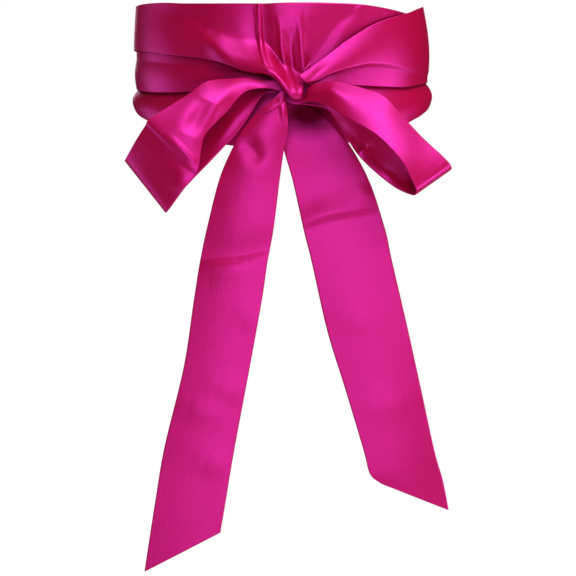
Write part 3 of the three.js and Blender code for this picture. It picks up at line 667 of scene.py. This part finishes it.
# The bow's left loop is a bight of the tie, held by the knot. The strip of doubled satin comes out of the
# knot, forward and down to the left, turns back at its end and returns behind to the knot. Edge a is the
# lower one.
STRIP_ACROSS = 80
LOOP_ALONG = 320
LOOP_FRONT_ALONG = 180
LEFT_LOOP = [
    {"ax": 9, "ay": -117, "az": -42, "bx": 9, "by": -117, "bz": -34, "swell": 0},
    {"ax": 0, "ay": -117, "az": -38.5, "bx": 1, "by": -117, "bz": -31, "swell": 0},
    {"ax": -9, "ay": -116.4, "az": -35.5, "bx": -9, "by": -115.6, "bz": -28.5, "swell": 0},
    {"ax": -16.2, "ay": -118.5, "az": -35.3, "bx": -20.7, "by": -114, "bz": -27.7, "swell": 1},
    {"ax": -28.7, "ay": -122.5, "az": -37, "bx": -34.6, "by": -117, "bz": -26.5, "swell": 2},
    {"ax": -37.9, "ay": -129, "az": -42.9, "bx": -47.7, "by": -121, "bz": -27.8, "swell": 3},
    {"ax": -48.1, "ay": -137, "az": -56, "bx": -60.9, "by": -126, "bz": -29, "swell": 5},
    {"ax": -60.3, "ay": -144, "az": -68.9, "bx": -70.3, "by": -131, "bz": -32.3, "swell": 6},
    {"ax": -69.4, "ay": -150, "az": -81.3, "bx": -85.4, "by": -138, "bz": -44, "swell": 6},
    {"ax": -73.7, "ay": -155, "az": -106.8, "bx": -115.7, "by": -147, "bz": -64, "swell": 4},
    {"ax": -77.7, "ay": -154, "az": -116.9, "bx": -121.2, "by": -144, "bz": -71.1, "swell": 3},
    {"ax": -87.6, "ay": -151, "az": -128.2, "bx": -130, "by": -138, "bz": -84.1, "swell": 2},
    {"ax": -101.1, "ay": -145, "az": -145.8, "bx": -139.7, "by": -126, "bz": -99.5, "swell": 1},
    {"ax": -102.1, "ay": -135, "az": -144.5, "bx": -138.6, "by": -115, "bz": -97.1, "swell": -1},
    {"ax": -87.7, "ay": -127, "az": -125.5, "bx": -122.8, "by": -108, "bz": -78.7, "swell": -3},
    {"ax": -66.6, "ay": -121, "az": -103.3, "bx": -94, "by": -105.5, "bz": -55.9, "swell": -3},
    {"ax": -50.7, "ay": -118.5, "az": -86.2, "bx": -77.8, "by": -105, "bz": -42.3, "swell": -3},
    {"ax": -37.8, "ay": -117, "az": -72, "bx": -61.5, "by": -105, "bz": -34.2, "swell": -2},
    {"ax": -27.9, "ay": -114.5, "az": -57, "bx": -43.4, "by": -105, "bz": -29.7, "swell": -1},
    {"ax": -19.3, "ay": -112.3, "az": -42.9, "bx": -25.3, "by": -106, "bz": -28.8, "swell": 0},
    {"ax": -12, "ay": -110.5, "az": -38.5, "bx": -13, "by": -108.5, "bz": -30, "swell": 0},
    {"ax": 0, "ay": -111, "az": -40, "bx": -1, "by": -111, "bz": -32, "swell": 0},
    {"ax": 9, "ay": -111, "az": -42, "bx": 9, "by": -111, "bz": -34, "swell": 0},
]
LEFT_LOOP_FRONT_FOLDS = [
    {"path": ((-67, -48), (-75, -64), (-83, -80)), "rise": -4, "left": 8, "right": 8, "taper": 1},
    {"path": ((-44, -34), (-55, -48), (-66, -66)), "rise": 1.3, "left": 5, "right": 6, "taper": 0.7},
    {"path": ((-101, -80), (-76, -104)), "rise": 1.6, "left": 3, "right": 3, "taper": 0.8},
    {"path": ((-82, -112), (-95, -132)), "rise": 4, "left": 11, "right": 12, "taper": 0.7},
]
LEFT_LOOP_BACK_FOLDS = [
    {"path": ((-26, -46), (-42, -62), (-60, -86)), "rise": 2, "left": 5, "right": 5, "taper": 0.7},
]


def strip_grid(rows, along, across):
    """Points of a strip of tie in free space, whose middle swells forward."""
    share = np.linspace(0, 1, across)[:, None]
    forward = np.array([0, -1, 0])
    grid = []
    for place in np.linspace(0, len(rows) - 1, along):
        row = between(rows, place)
        a = np.array([row["ax"], row["ay"], row["az"]])
        b = np.array([row["bx"], row["by"], row["bz"]])
        grid.append(a + (b - a) * share + forward * row["swell"] * np.sin(np.pi * share))
    return grid


def loop_grid(rows, front_folds, back_folds):
    """A bow's loop, with folds of its own on its front layer and on its back layer."""
    grid = np.array(strip_grid(rows, LOOP_ALONG, STRIP_ACROSS))
    front, back = grid[:LOOP_FRONT_ALONG], grid[LOOP_FRONT_ALONG:]
    return np.concatenate([folded(front, front_folds), folded(back, back_folds)])


left_loop = satin_wall(
    "satin_left_loop", loop_grid(LEFT_LOOP, LEFT_LOOP_FRONT_FOLDS, LEFT_LOOP_BACK_FOLDS)
)
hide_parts("left_loop")

# The bow's right loop is a bight of the other tie, of the same doubled satin, held by the knot in the same
# way. The lower edge of its front layer is the nearer one, so the inside of its back layer shows.
RIGHT_LOOP = [
    {"ax": 2, "ay": -115, "az": -46, "bx": 2, "by": -115, "bz": -38, "swell": 0},
    {"ax": 12, "ay": -115, "az": -49.5, "bx": 12, "by": -115, "bz": -44.5, "swell": 0},
    {"ax": 19, "ay": -116, "az": -48, "bx": 19.5, "by": -115.4, "bz": -43, "swell": 0},
    {"ax": 26.5, "ay": -120.5, "az": -47.1, "bx": 26.1, "by": -117.5, "bz": -33.4, "swell": 1},
    {"ax": 35.8, "ay": -126, "az": -49.3, "bx": 35.9, "by": -119, "bz": -30.4, "swell": 2},
    {"ax": 45.6, "ay": -134, "az": -54.8, "bx": 48.5, "by": -122, "bz": -30, "swell": 3},
    {"ax": 62.2, "ay": -144, "az": -65.8, "bx": 70.8, "by": -126, "bz": -35.9, "swell": 3},
    {"ax": 81.5, "ay": -152, "az": -77.8, "bx": 91.7, "by": -130, "bz": -44.3, "swell": 2},
    {"ax": 96.3, "ay": -157, "az": -91.4, "bx": 108.9, "by": -135, "bz": -63.8, "swell": 1.5},
    {"ax": 108.6, "ay": -159, "az": -106.5, "bx": 125.6, "by": -138, "bz": -81.9, "swell": 1},
    {"ax": 117.4, "ay": -159, "az": -125, "bx": 141.6, "by": -139, "bz": -96.6, "swell": 0.5},
    {"ax": 118.9, "ay": -156, "az": -129.8, "bx": 150.2, "by": -137, "bz": -105.9, "swell": 0.5},
    {"ax": 115.7, "ay": -149, "az": -132.2, "bx": 148.5, "by": -128, "bz": -108.5, "swell": 0},
    {"ax": 100.5, "ay": -142, "az": -125.2, "bx": 131.9, "by": -122, "bz": -95.7, "swell": -2},
    {"ax": 81.2, "ay": -134, "az": -109.3, "bx": 110.7, "by": -116, "bz": -72, "swell": -3},
    {"ax": 67.6, "ay": -126, "az": -94.6, "bx": 86.5, "by": -111, "bz": -47.3, "swell": -3},
    {"ax": 54.8, "ay": -119, "az": -74.9, "bx": 64.1, "by": -107.5, "bz": -36.2, "swell": -2},
    {"ax": 41.4, "ay": -114, "az": -54.7, "bx": 44.2, "by": -106.5, "bz": -34.3, "swell": -1},
    {"ax": 24, "ay": -112.2, "az": -50, "bx": 24, "by": -109.8, "bz": -41, "swell": 0},
    {"ax": 13, "ay": -113, "az": -49, "bx": 13, "by": -113, "bz": -40, "swell": 0},
    {"ax": 2, "ay": -113, "az": -46, "bx": 2, "by": -113, "bz": -38, "swell": 0},
]
RIGHT_LOOP_FRONT_FOLDS = [
    {"path": ((28, -40), (44, -38), (60, -48)), "rise": 1.5, "left": 5, "right": 5, "taper": 0.8},
]
RIGHT_LOOP_BACK_FOLDS = [
    {"path": ((68, -95), (78, -88)), "rise": 3, "left": 3, "right": 3, "taper": 0.7},
    {"path": ((50, -70), (64, -88)), "rise": 2.5, "left": 6, "right": 6, "taper": 0.7},
    {"path": ((86, -108), (100, -118)), "rise": 2, "left": 5, "right": 5, "taper": 0.7},
]
right_loop = satin_wall(
    "satin_right_loop", loop_grid(RIGHT_LOOP, RIGHT_LOOP_FRONT_FOLDS, RIGHT_LOOP_BACK_FOLDS)
)
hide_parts("right_loop")

# The two tails are the free ends of the ties, of the same doubled satin, each sewn shut and cut on the
# slant. They hang from the knot, and keep the soft creases of having been folded. Edge a is the left one.
TAIL_ALONG = 300
LEFT_TAIL = [
    {"ax": 2, "ay": -119, "az": -35, "bx": 10, "by": -119, "bz": -36, "swell": 0},
    {"ax": -8, "ay": -119, "az": -46, "bx": 3, "by": -119, "bz": -44, "swell": 0},
    {"ax": -20, "ay": -120, "az": -56, "bx": 4.5, "by": -121, "bz": -58, "swell": 3},
    {"ax": -32, "ay": -119, "az": -69, "bx": 5, "by": -121, "bz": -72, "swell": 4},
    {"ax": -44, "ay": -117, "az": -89, "bx": 1.5, "by": -120, "bz": -90, "swell": 4},
    {"ax": -56, "ay": -115, "az": -117, "bx": -2.5, "by": -119, "bz": -118, "swell": 3.5},
    {"ax": -67, "ay": -113, "az": -160, "bx": -8, "by": -118, "bz": -162, "swell": 3},
    {"ax": -73.5, "ay": -113, "az": -191, "bx": -13.5, "by": -118, "bz": -192, "swell": 2.5},
    {"ax": -79, "ay": -114, "az": -226, "bx": -18.5, "by": -119, "bz": -226, "swell": 2},
    {"ax": -88, "ay": -116, "az": -286, "bx": -29.5, "by": -120, "bz": -287, "swell": 1.5},
    {"ax": -105, "ay": -118, "az": -357, "bx": -43, "by": -122, "bz": -359, "swell": 1.5},
    {"ax": -113, "ay": -120, "az": -404, "bx": -51, "by": -124, "bz": -407, "swell": 1},
    {"ax": -123, "ay": -122, "az": -469, "bx": -55.5, "by": -125, "bz": -434, "swell": 1},
]
LEFT_TAIL_FOLDS = [
    {"path": ((-28, -88), (-24, -95)), "rise": -3.5, "left": 8.5, "right": 8.5, "taper": 0},
    {"path": ((-29, -86), (-24, -98)), "rise": 1.2, "left": 17, "right": 17, "taper": 0},
    {"path": ((0, -48), (2.5, -66)), "rise": 2.5, "left": 3, "right": 3, "taper": 0.5},
    {"path": ((-20, -56.3), (-9.3, -55), (-2.3, -49.5), (0.8, -44)),
     "rise": 2.6, "left": 7, "right": 1.2, "taper": 0.3},
    {"path": ((-74, -188), (-40, -186), (-12, -179)), "rise": -2.2, "left": 15, "right": 5, "taper": 0.3},
    {"path": ((-66, -199), (-30, -197)), "rise": 1.2, "left": 7, "right": 12, "taper": 0.6},
    {"path": ((-32, -238), (-22, -248)), "rise": 0.9, "left": 11, "right": 11, "taper": 0.3},
    {"path": ((-58, -303), (-36, -310)), "rise": 1, "left": 12, "right": 12, "taper": 0.4},
    {"path": ((-84, -322), (-60, -328)), "rise": 1, "left": 12, "right": 12, "taper": 0.4},
    {"path": ((-68, -370), (-50, -377)), "rise": 1, "left": 12, "right": 12, "taper": 0.4},
]
left_tail = satin_wall(
    "satin_left_tail", strip_grid(LEFT_TAIL, TAIL_ALONG, STRIP_ACROSS), LEFT_TAIL_FOLDS
)
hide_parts("left_tail")

RIGHT_TAIL = [
    {"ax": 3, "ay": -108.8, "az": -40, "bx": 14, "by": -108.8, "bz": -40, "swell": 0},
    {"ax": 1, "ay": -108.8, "az": -49, "bx": 20, "by": -108.8, "bz": -49, "swell": 0},
    {"ax": -1, "ay": -101.4, "az": -62, "bx": 37, "by": -101, "bz": -60, "swell": 0},
    {"ax": 0, "ay": -101.6, "az": -74, "bx": 50, "by": -101.6, "bz": -73, "swell": 0.4},
    {"ax": 2, "ay": -103.5, "az": -90, "bx": 63, "by": -103, "bz": -89, "swell": 1},
    {"ax": 10, "ay": -108, "az": -118, "bx": 79, "by": -107, "bz": -120, "swell": 2},
    {"ax": 20, "ay": -112, "az": -163, "bx": 92.5, "by": -111, "bz": -162, "swell": 2},
    {"ax": 27, "ay": -114, "az": -191, "bx": 98.5, "by": -114, "bz": -190, "swell": 2},
    {"ax": 41, "ay": -116, "az": -253, "bx": 113, "by": -116, "bz": -253, "swell": 2},
    {"ax": 57, "ay": -117, "az": -305, "bx": 124.5, "by": -115, "bz": -305, "swell": 2},
    {"ax": 73.5, "ay": -118, "az": -360, "bx": 137, "by": -113, "bz": -362, "swell": 2},
    {"ax": 80, "ay": -118, "az": -383, "bx": 144.5, "by": -111, "bz": -388, "swell": 2},
    {"ax": 92, "ay": -116, "az": -392, "bx": 150, "by": -109, "bz": -415, "swell": 1.5},
]
RIGHT_TAIL_FOLDS = [
    {"path": ((18, -157), (40, -149), (56, -146), (88, -141)),
     "rise": 3.2, "left": 12, "right": 4, "taper": 0.5},
    {"path": ((62, -134), (84, -129)), "rise": 1.4, "left": 8, "right": 6, "taper": 0.5},
    {"path": ((60, -240), (80, -246)), "rise": 0.9, "left": 14, "right": 14, "taper": 0.4},
    {"path": ((88, -320), (112, -318)), "rise": 0.9, "left": 14, "right": 14, "taper": 0.4},
]
right_tail = satin_wall(
    "satin_right_tail", strip_grid(RIGHT_TAIL, TAIL_ALONG, STRIP_ACROSS), RIGHT_TAIL_FOLDS
)
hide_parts("right_tail")
